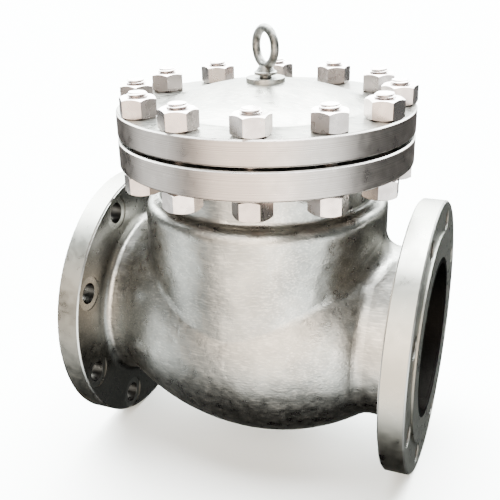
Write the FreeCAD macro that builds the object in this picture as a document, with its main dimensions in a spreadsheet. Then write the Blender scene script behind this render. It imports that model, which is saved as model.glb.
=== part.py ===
"""Swing check valve, flanged, with a bolted cover, in millimetres.

The frame starts at the centre of the inlet flange's raised face: +X is the direction of flow
and the pipe axis, +Z points up through the cover.
"""
import FreeCAD, Part
import math
import os
import re

import Sketcher

# driving sizes: name, value, meaning
SIZES = [
    ("face_to_face", 360.0, "inlet face to outlet face"),
    ("bore_dia", 152.4, "waterway at the flanges"),
    ("flange_dia", 279.4, "end flange"),
    ("flange_thickness", 26.5, "end flange with its raised face"),
    ("raised_face_dia", 216.0, "raised face of an end flange"),
    ("raised_face_height", 1.6, "raised face above the flange"),
    ("bolt_circle", 241.3, "bolt circle of an end flange"),
    ("inlet_bolt_hole_dia", 22.2, "bolt hole of the inlet flange"),
    ("outlet_bolt_hole_dia", 22.6, "bolt hole of the outlet flange, drilled a little wider"),
    ("bolt_hole_count", 8, "bolt holes of an end flange"),
    ("spot_face_dia", 36.0, "spot face behind a bolt hole"),
    ("spot_face_depth", 0.8, "depth of a spot face"),
    ("rim_chamfer", 1.5, "broken edges of the flanges"),
    ("hub_fillet", 9.0, "fillet from neck to end flange"),
    ("belly_dia", 254.0, "widest part of the belly"),
    ("inlet_belly_radius", 245.0, "arc of the belly towards the inlet"),
    ("outlet_belly_radius", 210.0, "arc of the belly towards the outlet"),
    ("inlet_blend", 30.0, "hollow arc from the inlet neck to the belly"),
    ("outlet_blend", 20.0, "hollow arc from the outlet neck to the belly"),
    ("cast_wall", 12.0, "wall of the casting"),
    ("chimney_dia", 249.0, "upright chimney outside"),
    ("chimney_bore_dia", 224.0, "upright chimney inside"),
    ("chimney_fillet", 18.0, "blend from chimney to belly"),
    ("shoulder_height", 139.0, "chimney shoulder above the pipe axis"),
    ("shoulder_fillet", 13.0, "round on the chimney shoulder"),
    ("collar_dia", 218.0, "collar between shoulder and body flange"),
    ("collar_fillet", 4.0, "blends at the collar's ends"),
    ("collar_bore_dia", 190.0, "opening under the cover"),
    ("collar_bore_drop", 61.0, "length of the opening under the cover"),
    ("body_flange_top", 202.0, "body flange face above the pipe axis"),
    ("body_flange_thickness", 27.0, "body flange"),
    ("cover_dia", 294.0, "cover and body flange"),
    ("cover_thickness", 24.0, "flange of the cover"),
    ("dome_dia", 207.0, "foot of the cover's dome"),
    ("dome_rise", 21.5, "dome's top above the cover flange"),
    ("dome_fillet", 4.0, "blend at the dome's foot"),
    ("dome_wall", 16.0, "wall of the dome"),
    ("spigot_depth", 8.0, "spigot of the cover below its flange"),
    ("spigot_wall", 9.0, "wall of the spigot"),
    ("spigot_gap", 0.4, "radial gap round the spigot"),
    ("boss_dia", 38.0, "lifting boss on the dome"),
    ("boss_rise", 3.5, "lifting boss above the dome"),
    ("gasket_thickness", 3.5, "cover gasket"),
    ("gasket_dia", 236.0, "cover gasket outside"),
    ("gasket_lap", 1.5, "cover gasket bore beyond the opening, radial"),
    ("stud_dia", 19.05, "cover stud"),
    ("stud_count", 12, "cover studs"),
    ("stud_circle", 259.5, "circle of the cover studs"),
    ("stud_phase", 15.0, "angle of the first cover stud"),
    ("stud_hole_dia", 22.0, "hole for a cover stud"),
    ("stud_tip_top", 4.4, "cover stud above its top nut"),
    ("stud_tip_bottom", 1.2, "cover stud below its bottom nut"),
    ("stud_chamfer", 1.5, "chamfer on a stud's ends"),
    ("nut_flats", 31.75, "cover nut across flats"),
    ("nut_height", 18.65, "cover nut"),
    ("hex_face_share", 0.95, "turned end of a hexagon over its width across flats"),
    ("hex_chamfer_angle", 30.0, "chamfer on a hexagon's corners"),
    ("thread_gap", 0.05, "radial gap in every thread"),
    ("eye_ring_radius", 17.5, "eye bolt's ring to its section's centre"),
    ("eye_section_dia", 8.2, "section of the eye bolt's ring"),
    ("eye_shank_dia", 12.0, "eye bolt's shank"),
    ("eye_shank_depth", 14.0, "eye bolt's shank in the cover"),
    ("eye_stand_off", 2.5, "bare shank above the boss"),
    ("eye_collar_dia", 22.0, "eye bolt's collar"),
    ("eye_collar_height", 3.5, "eye bolt's collar"),
    ("eye_neck_dia", 18.5, "foot of the cone between collar and ring"),
    ("eye_neck_height", 5.5, "cone, collar to the centre of the ring's section"),
    ("eye_turn", -38.7, "angle of the ring's plane about the chimney axis"),
    ("seat_offset", 74.0, "seat centre upstream of the chimney axis"),
    ("seat_tilt", 5.0, "lean of the seat face"),
    ("seat_ring_wall", 11.8, "seat ring, bore to outside"),
    ("seat_ring_depth", 14.0, "seat ring"),
    ("seat_proud", 2.0, "seat ring above the bridge wall"),
    ("bridge_wall", 18.0, "wall that holds the seat ring"),
    ("ledge_height", 112.0, "bracket pads above the pipe axis"),
    ("pad_thickness", 24.0, "bracket pad"),
    ("pad_inner", 40.0, "inner side of a bracket leg and pad"),
    ("pad_outer", 59.0, "outer side of a bracket leg and pad"),
    ("pin_offset", 14.0, "hinge pin downstream of the seat face"),
    ("pin_height", 104.0, "hinge pin above the seat centre"),
    ("pin_dia", 14.0, "hinge pin"),
    ("pin_gap", 0.05, "radial running gap on the hinge pin"),
    ("pin_length", 76.0, "hinge pin"),
    ("lug_inner", 17.0, "inner side of a bracket lug"),
    ("lug_outer", 29.0, "outer side of a bracket lug"),
    ("bracket_width", 28.0, "bracket along the flow"),
    ("bracket_top", 12.0, "thickness of the bracket's crossbar"),
    ("stop_height", 16.8, "crossbar's underside above the pin"),
    ("stop_gap", 0.3, "gap left at the open stop"),
    ("open_angle", 65.0, "clapper's travel"),
    ("washer_thickness", 2.0, "plain washer on the hinge pin"),
    ("washer_dia", 26.0, "plain washer on the hinge pin"),
    ("washer_play", 0.3, "play beside a plain washer"),
    ("bracket_bolt_dia", 10.0, "bracket bolt"),
    ("bracket_bolt_hole_dia", 11.0, "hole in a bracket leg"),
    ("bracket_bolt_flats", 17.0, "bracket bolt head across flats"),
    ("bracket_bolt_head", 6.4, "bracket bolt head"),
    ("bracket_bolt_grip", 17.0, "bracket bolt's thread in its pad"),
    ("lock_washer_dia", 18.0, "lock washer under a bracket bolt"),
    ("lock_washer_bore", 10.5, "hole of a lock washer"),
    ("lock_washer_height", 2.2, "lock washer under a bracket bolt"),
    ("hub_length", 33.0, "arm's hub on the hinge pin"),
    ("hub_dia", 27.0, "arm's hub on the hinge pin"),
    ("bush_dia", 18.0, "bush in the arm's hub"),
    ("bush_length", 15.0, "bush in the arm's hub"),
    ("arm_width", 26.0, "arm across the flow"),
    ("arm_web", 9.0, "arm's web between its flanges"),
    ("arm_rib", 6.0, "arm's flanges"),
    ("heel_length", 9.0, "flat of the open stop"),
    ("arm_boss_dia", 50.0, "arm's boss round the disc stud"),
    ("arm_boss_length", 20.0, "arm's boss along the disc stud"),
    ("disc_inset", 2.0, "disc's rim inside the seat ring's, radial"),
    ("disc_thickness", 14.0, "disc"),
    ("disc_edge", 9.8, "upright edge of the disc"),
    ("disc_gap", 0.2, "closed disc to the seat face"),
    ("disc_relief_inset", 3.2, "relief's edge inside the bore, radial"),
    ("disc_relief_depth", 1.5, "shallow relief in the disc's face"),
    ("disc_hub_dia", 60.0, "raised hub on the disc's back"),
    ("disc_hub_rise", 4.0, "raised hub on the disc's back"),
    ("disc_play", 0.3, "play along the disc stud at each side of the boss"),
    ("disc_stud_dia", 20.0, "stud of the disc"),
    ("disc_stud_gap", 0.08, "radial running gap on the disc stud"),
    ("disc_stud_tip", 9.0, "disc stud beyond its nut"),
    ("disc_washer_dia", 37.0, "washer on the disc stud"),
    ("disc_washer_thickness", 3.0, "washer on the disc stud"),
    ("disc_nut_height", 16.0, "nut on the disc stud"),
    ("split_pin_dia", 3.2, "hole size of the split pins"),
    ("split_pin_wire", 2.2, "doubled wire of a split pin"),
    ("split_pin_eye", 3.6, "eye radius of a split pin"),
    ("split_pin_tail", 6.0, "split pin's legs beyond the shaft"),
]

# sizes worked out from the driving ones
DERIVED = {
    "half": "face_to_face / 2",
    "neck_r": "bore_dia / 2 + cast_wall",
    "belly_r": "belly_dia / 2",
    "chimney_r": "chimney_dia / 2",
    "collar_r": "collar_dia / 2",
    "cover_r": "cover_dia / 2",
    "body_flange_under": "body_flange_top - body_flange_thickness",
    "cover_under": "body_flange_top + gasket_thickness",
    "cover_top": "cover_under + cover_thickness",
    "dome_top": "cover_top + dome_rise",
    "boss_top": "dome_top + boss_rise",
    "spigot_r": "collar_bore_dia / 2 - spigot_gap",
    "stud_low": "body_flange_under - nut_height - stud_tip_bottom",
    "stud_high": "cover_top + nut_height + stud_tip_top",
    "stud_x": "stud_circle / 2 * cos(stud_phase)",
    "stud_y": "stud_circle / 2 * sin(stud_phase)",
    "seat_x": "half - seat_offset",
    "seat_ring_r": "bore_dia / 2 + seat_ring_wall",
    "disc_r": "seat_ring_r - disc_inset",
    "disc_relief_r": "bore_dia / 2 - disc_relief_inset",
    "pin_x": "seat_x + pin_offset * cos(seat_tilt) - pin_height * sin(seat_tilt)",
    "pin_z": "pin_offset * sin(seat_tilt) + pin_height * cos(seat_tilt)",
    "bracket_r": "bracket_width / 2",
    "leg_centre": "(pad_inner + pad_outer) / 2",
    "leg_foot": "ledge_height - pin_z",
    "crossbar_top": "stop_height + bracket_top",
    "disc_back": "disc_gap + disc_thickness",
    "arm_boss_near": "disc_back + disc_hub_rise + disc_play",
    "arm_boss_far": "arm_boss_near + arm_boss_length",
    "disc_washer_near": "arm_boss_far + disc_play",
    "disc_nut_near": "disc_washer_near + disc_washer_thickness",
    "disc_stud_end": "disc_nut_near + disc_nut_height + disc_stud_tip",
    "disc_pin_x": "disc_nut_near + disc_nut_height + disc_stud_tip / 2",
    "hinge_split_y": "(lug_outer + washer_play + washer_thickness + pin_length / 2) / 2",
}

# how near a point must lie to count as being on a place, in millimetres
NEAR = 0.01

# turn of each cover nut about its stud, in degrees from the stud's own direction
TOP_NUT_TURNS = [9, 57, 10, 27, 5, 11, 41, 23, 4, 45, 30, 21]
BOTTOM_NUT_TURNS = [25, 9, 52, 40, 36, 2, 19, 31, 14, 27, 10, 51]

doc = FreeCAD.newDocument("swing_check_valve")
sheet = doc.addObject("Spreadsheet::Sheet", "sizes")
for row, (alias, number, meaning) in enumerate(SIZES, start=1):
    sheet.set(f"A{row}", meaning)
    sheet.set(f"B{row}", str(number))
    sheet.setAlias(f"B{row}", alias)
doc.recompute()

ALIASES = {alias for alias, _, _ in SIZES}
WORD = re.compile(r"[a-z][a-z_]*[a-z]")


def driving(text):
    """The formula with every derived size replaced by its own formula."""
    while True:
        swapped = WORD.sub(lambda m: f"({DERIVED[m[0]]})" if m[0] in DERIVED else m[0], text)
        if swapped == text:
            return text
        text = swapped


def value(text):
    """The number that a formula in size names gives now."""
    return float(sheet.evalExpression(driving(text)))


def linked(text):
    """The formula as an expression that other objects can hold."""
    return WORD.sub(lambda m: f"sizes.{m[0]}" if m[0] in ALIASES else m[0], driving(text))


def bind(item, **formulas):
    """Tie properties of an object to formulas in size names."""
    for name, text in formulas.items():
        item.setExpression(name.replace("__", "."), linked(text))


def new_body(label, x="0", y="0", z="0", lean=None, spin=None):
    """A body with its place tied to the sheet, leaning in the XZ plane or spun about Z."""
    body = doc.addObject("PartDesign::Body", label)
    body.Label = label
    if lean or spin:
        axis = FreeCAD.Vector(0, -1, 0) if lean else FreeCAD.Vector(0, 0, 1)
        body.Placement = FreeCAD.Placement(
            FreeCAD.Vector(), FreeCAD.Rotation(axis, value(lean or spin))
        )
        bind(body, Placement__Rotation__Angle=lean or spin)
    bind(body, Placement__Base__x=x, Placement__Base__y=y, Placement__Base__z=z)
    return body


def at_seat(label):
    """A body whose X axis is the seat's own axis, from the centre of the seat face."""
    return new_body(label, x="seat_x", lean="seat_tilt")


def at_pin(label):
    """A body whose Y axis is the hinge pin's axis."""
    return new_body(label, x="pin_x", z="pin_z")


def origin_plane(body, role):
    return next(f for f in body.Origin.OriginFeatures if f.Role == role)


def new_sketch(body, name, role, height="0", slide="0", rise="0", turn="0"):
    """A sketch on one of the body's own planes, lifted, moved along the plane and turned in it."""
    sketch = body.newObject("Sketcher::SketchObject", name)
    sketch.AttachmentSupport = (origin_plane(body, role), [""])
    sketch.MapMode = "FlatFace"
    sketch.AttachmentOffset = FreeCAD.Placement(
        FreeCAD.Vector(value(slide), value(rise), value(height)),
        FreeCAD.Rotation(FreeCAD.Vector(0, 0, 1), value(turn)),
    )
    for path, text in (("Base.x", slide), ("Base.y", rise), ("Base.z", height)):
        if text != "0":
            sketch.setExpression(f"AttachmentOffset.{path}", linked(text))
    if turn != "0":
        axis = sketch.AttachmentOffset.Rotation.Axis.z
        text = turn if axis > 0 else f"-({turn})"
        sketch.setExpression("AttachmentOffset.Rotation.Angle", linked(text))
    return sketch


def pin_down(sketch, geometry, end, across, along):
    """Hold one point of the sketch at two formulas."""
    for kind, axis, text in (("DistanceX", -2, across), ("DistanceY", -1, along)):
        now = value(text)
        if text == "0":
            sketch.addConstraint(Sketcher.Constraint("PointOnObject", geometry, end, axis))
            continue
        if now < 0:
            place = Sketcher.Constraint(kind, geometry, end, -1, 1, -now)
            text = f"-({text})"
        else:
            place = Sketcher.Constraint(kind, -1, 1, geometry, end, now)
        index = sketch.addConstraint(place)
        sketch.setExpression(f"Constraints[{index}]", linked(text))


def outline(sketch, corners):
    """A closed outline. Each corner is (across, along), with (radius, side) added where an arc follows.

    Side is 1 for an arc that swells to the left of its run and -1 for one that swells to the right.
    """
    points = [FreeCAD.Vector(value(c[0]), value(c[1]), 0) for c in corners]
    ends = []
    for i, corner in enumerate(corners):
        start, stop = points[i], points[(i + 1) % len(points)]
        if len(corner) == 2:
            index = sketch.addGeometry(Part.LineSegment(start, stop))
            ends.append((index, 1, 2))
            continue
        radius, side = value(corner[2]), corner[3]
        run = stop - start
        left = FreeCAD.Vector(-run.y, run.x, 0).normalize()
        centre = (start + stop) / 2 - left * side * math.sqrt(max(radius**2 - (run.Length / 2) ** 2, 0))
        first, last = (stop, start) if side > 0 else (start, stop)
        angles = [math.atan2(p.y - centre.y, p.x - centre.x) for p in (first, last)]
        full = Part.Circle(centre, FreeCAD.Vector(0, 0, 1), radius)
        index = sketch.addGeometry(Part.ArcOfCircle(full, *angles))
        ends.append((index, 2, 1) if side > 0 else (index, 1, 2))
        held = sketch.addConstraint(Sketcher.Constraint("Radius", index, radius))
        sketch.setExpression(f"Constraints[{held}]", linked(corner[2]))
    for i, (index, start, stop) in enumerate(ends):
        following = ends[(i + 1) % len(ends)]
        sketch.addConstraint(Sketcher.Constraint("Coincident", index, stop, following[0], following[1]))
        pin_down(sketch, index, start, corners[i][0], corners[i][1])


def rectangle(sketch, left, right, low, high):
    outline(sketch, [(left, low), (right, low), (right, high), (left, high)])


def round_hole(sketch, across, along, radius):
    """A full circle held by its centre and radius."""
    centre = FreeCAD.Vector(value(across), value(along), 0)
    index = sketch.addGeometry(Part.Circle(centre, FreeCAD.Vector(0, 0, 1), value(radius)))
    held = sketch.addConstraint(Sketcher.Constraint("Radius", index, value(radius)))
    sketch.setExpression(f"Constraints[{held}]", linked(radius))
    pin_down(sketch, index, 3, across, along)


def hexagon(sketch, flats, across="0", along="0"):
    """A hexagon by its width across flats, with corners along the sketch's first direction."""
    outline(sketch, [
        (f"{across} + {flats} / sqrt(3) * cos({turn})", f"{along} + {flats} / sqrt(3) * sin({turn})")
        for turn in range(0, 360, 60)
    ])


def turned(body, name, *outlines, axis="H_Axis", cut=False, role="XZ_Plane", **place):
    """Outlines turned a full circle about one of their sketch's own axes."""
    sketch = new_sketch(body, f"{name}_outline", role, **place)
    for corners in outlines:
        outline(sketch, corners)
    feature = body.newObject("PartDesign::Groove" if cut else "PartDesign::Revolution", name)
    feature.Profile = sketch
    feature.ReferenceAxis = (sketch, [axis])
    feature.Angle = 360
    doc.recompute()
    return feature


def pushed(body, name, sketch, length, cut=False, both=False, backwards=False):
    """A sketch pushed out, or cut in against its normal, by a length from the sheet."""
    feature = body.newObject("PartDesign::Pocket" if cut else "PartDesign::Pad", name)
    feature.Profile = sketch
    bind(feature, Length=length)
    feature.Midplane = both
    feature.Reversed = backwards
    doc.recompute()
    return feature


def ring_of(body, feature, count, axis=None):
    """Repeat a feature round its sketch's normal, or round another axis."""
    pattern = body.newObject("PartDesign::PolarPattern", f"{feature.Name}_ring")
    pattern.Originals = [feature]
    pattern.Axis = axis or (feature.Profile[0], ["N_Axis"])
    pattern.Angle = 360
    bind(pattern, Occurrences=count)
    body.Tip = pattern
    doc.recompute()
    return pattern


def mirrored(body, *features):
    """The same features again on the other side of the body's XZ plane."""
    pattern = body.newObject("PartDesign::Mirrored", f"{features[0].Name}_mirrored")
    pattern.Originals = list(features)
    pattern.MirrorPlane = (origin_plane(body, "XZ_Plane"), [""])
    body.Tip = pattern
    doc.recompute()
    return pattern


def softened(body, name, kind, size, wanted):
    """Round or chamfer every edge of the body's tip that passes a test."""
    base = body.Tip
    names = [f"Edge{i}" for i, edge in enumerate(base.Shape.Edges, start=1) if wanted(edge)]
    if not names:
        raise ValueError(f"{name}: no edge found")
    feature = body.newObject(f"PartDesign::{kind}", name)
    feature.Base = (base, names)
    bind(feature, **{"Radius" if kind == "Fillet" else "Size": size})
    doc.recompute()
    return feature


def ring_test(along, places, radius):
    """A test for round edges about the pipe axis or the chimney axis, at any of some places."""
    def is_wanted(edge):
        if edge.Degenerated or not isinstance(edge.Curve, Part.Circle):
            return False
        centre, axis = edge.Curve.Center, edge.Curve.Axis
        place = centre.x if along == "X" else centre.z
        pull = axis.x if along == "X" else axis.z
        return (abs(abs(pull) - 1) < NEAR and abs(edge.Curve.Radius - value(radius)) < NEAR
                and any(abs(place - value(p)) < NEAR for p in places))
    return is_wanted


def stud_hole_ring(body, height, length, slide="0"):
    """The ring of stud holes, cut down from a height."""
    sketch = new_sketch(body, "stud_hole_sketch", "XY_Plane", height=height, slide=slide)
    round_hole(sketch, "stud_x", "stud_y", "stud_hole_dia / 2")
    ring_of(body, pushed(body, "stud_hole", sketch, length, cut=True), "stud_count")


def end_flange_holes(body, side, hole_from, back):
    """Bolt holes of one end flange, each with its spot face on the flange's back."""
    turn = "180 / bolt_hole_count"
    across, along = f"bolt_circle / 2 * sin({turn})", f"bolt_circle / 2 * cos({turn})"
    sketch = new_sketch(body, f"{side}_bolt_sketch", "YZ_Plane", height=hole_from)
    round_hole(sketch, across, along, f"{side}_bolt_hole_dia / 2")
    ring_of(body, pushed(body, f"{side}_bolt_hole", sketch, "flange_thickness", cut=True), "bolt_hole_count")
    sketch = new_sketch(body, f"{side}_spot_sketch", "YZ_Plane", height=back)
    round_hole(sketch, across, along, "spot_face_dia / 2")
    spot = pushed(body, f"{side}_spot_face", sketch, "spot_face_depth", cut=True,
                  backwards=side == "outlet")
    ring_of(body, spot, "bolt_hole_count")


def hollow_foot(side):
    """Where the belly's hollow comes down to the bore."""
    radius, sign = f"{side}_belly_radius", "-" if side == "inlet" else "+"
    return f"half {sign} sqrt(({radius} - cast_wall) ^ 2 - ({radius} - belly_r + bore_dia / 2) ^ 2)"


def blend_ends(side):
    """Where the hollow arc of one side leaves its neck, and where and how low it meets the belly."""
    radius, blend, sign = f"{side}_belly_radius", f"{side}_blend", "-" if side == "inlet" else "+"
    rise = f"(neck_r + {blend} - belly_r + {radius})"
    reach = f"sqrt(({radius} + {blend}) ^ 2 - {rise} ^ 2)"
    share = f"{radius} / ({radius} + {blend})"
    on_neck = f"half {sign} {reach}"
    on_belly = f"half {sign} {reach} * {share}"
    return on_neck, on_belly, f"{radius} - belly_r - {rise} * {share}"


def casting():
    """Outside of the body: belly on the pipe axis, upright chimney, and three flanges."""
    body = new_body("casting")
    outlet_back = "face_to_face - flange_thickness"
    outlet_step = "face_to_face - raised_face_height"
    flange_low, face_low, neck_low = "-flange_dia / 2", "-raised_face_dia / 2", "-neck_r"
    inlet_neck_end, inlet_belly_x, inlet_belly_low = blend_ends("inlet")
    outlet_neck_end, outlet_belly_x, outlet_belly_low = blend_ends("outlet")
    turned(body, "barrel", [
        ("0", "0"),
        ("0", face_low),
        ("raised_face_height", face_low),
        ("raised_face_height", flange_low),
        ("flange_thickness", flange_low),
        ("flange_thickness", neck_low),
        (inlet_neck_end, neck_low, "inlet_blend", 1),
        (inlet_belly_x, inlet_belly_low, "inlet_belly_radius", -1),
        ("half", "-belly_r", "outlet_belly_radius", -1),
        (outlet_belly_x, outlet_belly_low, "outlet_blend", 1),
        (outlet_neck_end, neck_low),
        (outlet_back, neck_low),
        (outlet_back, flange_low),
        (outlet_step, flange_low),
        (outlet_step, face_low),
        ("face_to_face", face_low),
        ("face_to_face", "0"),
    ])
    turned(body, "chimney", [
        ("0", "0"),
        ("chimney_r", "0"),
        ("chimney_r", "shoulder_height"),
        ("collar_r", "shoulder_height"),
        ("collar_r", "body_flange_under"),
        ("cover_r", "body_flange_under"),
        ("cover_r", "body_flange_top"),
        ("0", "body_flange_top"),
    ], axis="V_Axis", role="YZ_Plane", height="half")

    def on_chimney_foot(edge):
        if edge.Degenerated or isinstance(edge.Curve, Part.Line):
            return False
        points = edge.discretize(9)
        off = [abs(math.hypot(p.x - value("half"), p.y) - value("chimney_r")) for p in points]
        return max(off) < NEAR and max(p.z for p in points) < value("belly_r")

    softened(body, "chimney_blend", "Fillet", "chimney_fillet", on_chimney_foot)
    softened(body, "hubs", "Fillet", "hub_fillet",
             ring_test("X", ["flange_thickness", outlet_back], "neck_r"))
    softened(body, "shoulder", "Fillet", "shoulder_fillet",
             ring_test("Z", ["shoulder_height"], "chimney_r"))
    softened(body, "collar_ends", "Fillet", "collar_fillet",
             ring_test("Z", ["shoulder_height", "body_flange_under"], "collar_r"))
    softened(body, "end_rims", "Chamfer", "rim_chamfer",
             ring_test("X", ["raised_face_height", "flange_thickness", outlet_back, outlet_step],
                       "flange_dia / 2"))
    softened(body, "body_flange_rims", "Chamfer", "rim_chamfer",
             ring_test("Z", ["body_flange_under", "body_flange_top"], "cover_r"))
    stud_hole_ring(body, "body_flange_top", "body_flange_thickness", slide="half")
    end_flange_holes(body, "inlet", "flange_thickness", "flange_thickness")
    end_flange_holes(body, "outlet", "face_to_face", outlet_back)
    return body


def waterway():
    """The hollow of the body: pipe passage, chimney, seat bore, with its bridge wall and pads left."""
    body = new_body("waterway")
    turned(body, "chimney_hollow", [
        ("0", "0"),
        ("chimney_bore_dia / 2", "0"),
        ("chimney_bore_dia / 2", "shoulder_height - cast_wall"),
        ("collar_bore_dia / 2", "body_flange_top - collar_bore_drop"),
        ("collar_bore_dia / 2", "body_flange_top"),
        ("0", "body_flange_top"),
    ], axis="V_Axis", role="YZ_Plane", height="half")
    sketch = new_sketch(body, "ledge_sketch", "XZ_Plane")

    def wall_x(level):
        return f"seat_x - (seat_proud + ({level}) * sin(seat_tilt)) / cos(seat_tilt)"

    outline(sketch, [
        ("half - chimney_r", "0"),
        (wall_x("0"), "0"),
        (wall_x("ledge_height"), "ledge_height"),
        ("half - chimney_r", "ledge_height"),
    ])
    pushed(body, "ledge", sketch, "chimney_dia", cut=True, both=True)
    turned(body, "passage", [
        ("0", "0"),
        ("0", "-bore_dia / 2"),
        (hollow_foot("inlet"), "-bore_dia / 2", "inlet_belly_radius - cast_wall", -1),
        ("half", "-(belly_r - cast_wall)", "outlet_belly_radius - cast_wall", -1),
        (hollow_foot("outlet"), "-bore_dia / 2"),
        ("face_to_face", "-bore_dia / 2"),
        ("face_to_face", "0"),
    ])
    sketch = new_sketch(body, "bridge_sketch", "XZ_Plane", slide="seat_x", turn="seat_tilt")
    rectangle(sketch, "-(seat_proud + bridge_wall)", "-seat_proud", "-belly_r", "ledge_height")
    pushed(body, "bridge", sketch, "belly_dia", cut=True, both=True)
    turned(body, "seat_bore", [
        ("-(seat_proud + bridge_wall)", "0"),
        ("-(seat_proud + bridge_wall)", "-bore_dia / 2"),
        ("-seat_ring_depth", "-bore_dia / 2"),
        ("-seat_ring_depth", "-seat_ring_r"),
        ("-seat_proud", "-seat_ring_r"),
        ("-seat_proud", "0"),
    ], slide="seat_x", turn="seat_tilt")
    sketch = new_sketch(body, "pad_sketch", "XY_Plane", height="ledge_height")
    for low, high in (("pad_inner", "pad_outer"), ("-pad_outer", "-pad_inner")):
        rectangle(sketch, "seat_x - bridge_wall", "pin_x + bracket_r + rim_chamfer", low, high)
    pushed(body, "pads", sketch, "pad_thickness", cut=True)
    sketch = new_sketch(body, "pad_thread_sketch", "XY_Plane", height="ledge_height")
    for place in ("leg_centre", "-leg_centre"):
        round_hole(sketch, "pin_x", place, "bracket_bolt_dia / 2 + thread_gap")
    pushed(body, "pad_threads", sketch, "bracket_bolt_grip + bracket_bolt_dia / 4", backwards=True)
    return body


def valve_body():
    """The casting with its waterway cut out."""
    cut = doc.addObject("Part::Cut", "body")
    cut.Base = casting()
    cut.Tool = waterway()
    cut.Label = "body"
    doc.recompute()
    return cut


def cover():
    """Bolted cover: flange, low dome, spigot and lifting boss, from the flange's underside."""
    body = new_body("cover", x="half", z="cover_under")
    crown = "(cover_thickness + dome_rise)"
    dome_arc = "((dome_dia ^ 2 / 4 + dome_rise ^ 2) / (2 * dome_rise))"
    inner_r = "(spigot_r - spigot_wall)"
    inner_sag = f"({dome_arc} - sqrt({dome_arc} ^ 2 - {inner_r} ^ 2))"
    turned(body, "shell", [
        ("0", f"{crown} - dome_wall"),
        ("0", crown, dome_arc, 1),
        ("dome_dia / 2", "cover_thickness"),
        ("cover_r", "cover_thickness"),
        ("cover_r", "0"),
        ("spigot_r", "0"),
        ("spigot_r", "-spigot_depth"),
        (inner_r, "-spigot_depth"),
        (inner_r, f"{crown} - dome_wall - {inner_sag}", dome_arc, -1),
    ], axis="V_Axis")
    softened(body, "dome_foot", "Fillet", "dome_fillet",
             ring_test("Z", ["cover_thickness"], "dome_dia / 2"))
    softened(body, "cover_rims", "Chamfer", "rim_chamfer",
             ring_test("Z", ["0", "cover_thickness"], "cover_r"))
    sketch = new_sketch(body, "boss_sketch", "XY_Plane", height=f"{crown} + boss_rise")
    round_hole(sketch, "0", "0", "boss_dia / 2")
    pushed(body, "boss", sketch, "boss_rise * 2", backwards=True)
    sketch = new_sketch(body, "eye_hole_sketch", "XY_Plane", height=f"{crown} + boss_rise")
    round_hole(sketch, "0", "0", "eye_shank_dia / 2 + thread_gap")
    pushed(body, "eye_hole", sketch, "eye_shank_depth + rim_chamfer", cut=True)
    stud_hole_ring(body, "cover_thickness", "cover_thickness")
    return body


def ring(body, name, near, far, inner, outer, **place):
    """A plain ring about one of its sketch's axes."""
    return turned(body, name, [(near, inner), (far, inner), (far, outer), (near, outer)], **place)


def cover_gasket():
    body = new_body("cover_gasket", x="half", z="body_flange_top")
    turned(body, "gasket_ring", [
        ("collar_bore_dia / 2 + gasket_lap", "0"),
        ("gasket_dia / 2", "0"),
        ("gasket_dia / 2", "gasket_thickness"),
        ("collar_bore_dia / 2 + gasket_lap", "gasket_thickness"),
    ], axis="V_Axis")
    return body


def cover_studs():
    """Twelve studs on their circle, from their lower tips."""
    body = new_body("cover_studs", x="half", z="stud_low", spin="stud_phase")
    length, r = "(stud_high - stud_low)", "stud_dia / 2"
    stud = turned(body, "stud", [
        ("0", "0"),
        (f"{r} - stud_chamfer", "0"),
        (r, "stud_chamfer"),
        (r, f"{length} - stud_chamfer"),
        (f"{r} - stud_chamfer", length),
        ("0", length),
    ], axis="V_Axis", slide="stud_circle / 2")
    ring_of(body, stud, "stud_count", axis=(origin_plane(body, "Z_Axis"), [""]))
    return body


def hex_chamfers(body, name, flats, ends, **place):
    """Turned chamfers on a hexagon's ends, given as (height, direction into the metal)."""
    face_r, corner_r = f"({flats} * hex_face_share / 2)", f"({flats} / sqrt(3) + rim_chamfer)"
    drop = f"(({corner_r} - {face_r}) * tan(hex_chamfer_angle))"
    cuts = [[(face_r, h), (corner_r, f"{h} {sign} {drop}"), (corner_r, h)] for h, sign in ends]
    return turned(body, name, *cuts, cut=True, axis="V_Axis", **place)


def nut(label, flats, height, bore):
    """A hexagon nut standing on the origin, with both ends chamfered."""
    body = new_body(label)
    sketch = new_sketch(body, f"{label}_hexagon", "XY_Plane")
    hexagon(sketch, flats)
    pushed(body, f"{label}_block", sketch, height)
    hex_chamfers(body, f"{label}_ends", flats, [("0", "+"), (height, "-")])
    sketch = new_sketch(body, f"{label}_bore_sketch", "XY_Plane", height=height)
    round_hole(sketch, "0", "0", bore)
    pushed(body, f"{label}_bore", sketch, height, cut=True)
    return body


def nuts_round(label, pattern_nut, height, turns):
    """One nut on every cover stud, each left at its own turn by the spanner."""
    shapes = []
    for i in range(int(value("stud_count"))):
        angle = value("stud_phase") + 360 / value("stud_count") * i
        heading = FreeCAD.Rotation(FreeCAD.Vector(0, 0, 1), angle)
        place = heading.multVec(FreeCAD.Vector(value("stud_circle / 2"), 0, 0))
        own = FreeCAD.Rotation(FreeCAD.Vector(0, 0, 1), angle + turns[i % len(turns)])
        shape = pattern_nut.Shape.copy()
        shape.Placement = FreeCAD.Placement(place, own)
        shapes.append(shape)
    nuts = doc.addObject("Part::Feature", label)
    nuts.Shape = Part.makeCompound(shapes)
    nuts.Label = label
    bind(nuts, Placement__Base__x="half", Placement__Base__z=height)
    return nuts


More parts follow.
